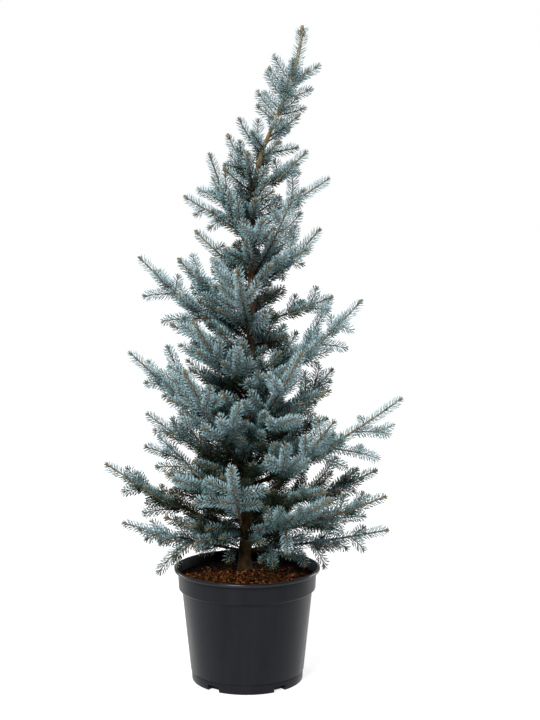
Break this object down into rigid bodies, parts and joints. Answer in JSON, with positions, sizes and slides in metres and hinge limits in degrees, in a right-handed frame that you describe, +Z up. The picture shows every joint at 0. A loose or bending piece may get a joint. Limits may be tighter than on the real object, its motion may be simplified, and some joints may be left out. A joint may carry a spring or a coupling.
{
  "type": "potted spruce tree",
  "caption": "Young blue spruce with tiers of silvery blue needled boughs on a slim trunk that leans at the top, growing in a round tapered nursery pot with a rolled rim.",
  "frame": {"origin": "centre of the pot's flat underside, on the surface that the plant stands on", "axes": "+Z up along the trunk, +X towards the side that the treetop leans to, -Y the side shown first"},
  "size_m": [0.6875, 0.5478, 1.5],
  "materials": {
    "pot_plastic": "satin charcoal black",
    "compost": "crumbly red-brown bark and peat",
    "bark": "rough grey-brown bark",
    "needles": "waxy silver-blue needles"
  },
  "bodies": {
    "root": {"pot": "pot_plastic", "soil": "compost", "trunk": "bark", "bough_15_right": "bark", "bough_19_front": "bark", "bough_20_right": "bark", "bough_20_back": "bark", "bough_21_front": "bark", "bough_22_right": "bark", "bough_23_left": "bark", "bough_24_right": "bark", "bough_25_right": "bark", "treetop": "needles", "foliage_01_right": "needles", "foliage_02_left": "needles", "foliage_02_right": "needles", "foliage_03_back": "needles", "foliage_04_left": "needles", "foliage_05_right": "needles", "foliage_05_front": "needles", "foliage_06_right": "needles", "foliage_07_left": "needles", "foliage_07_back": "needles", "foliage_08_front": "needles", "foliage_09_left": "needles", "foliage_10_left": "needles", "foliage_10_front": "needles", "foliage_11_right": "needles", "foliage_11_back": "needles", "foliage_12_left": "needles", "foliage_12_right": "needles", "foliage_13_front": "needles", "foliage_13_back": "needles", "foliage_14_left": "needles", "foliage_15_front": "needles", "foliage_15_right": "needles", "foliage_16_back_right": "needles", "foliage_16_back_left": "needles", "foliage_17_left": "needles", "foliage_17_front": "needles", "foliage_18_right": "needles", "foliage_18_back": "needles", "foliage_19_front": "needles", "foliage_19_left": "needles", "foliage_20_right": "needles", "foliage_20_back": "needles", "foliage_21_front": "needles", "foliage_21_back_left": "needles", "foliage_22_right": "needles", "foliage_22_back": "needles", "foliage_23_left": "needles", "foliage_23_front_right": "needles", "foliage_24_right": "needles", "foliage_24_front": "needles", "foliage_25_right": "needles", "foliage_25_left": "needles", "foliage_25_back": "needles"}
  },
  "joints": []
}
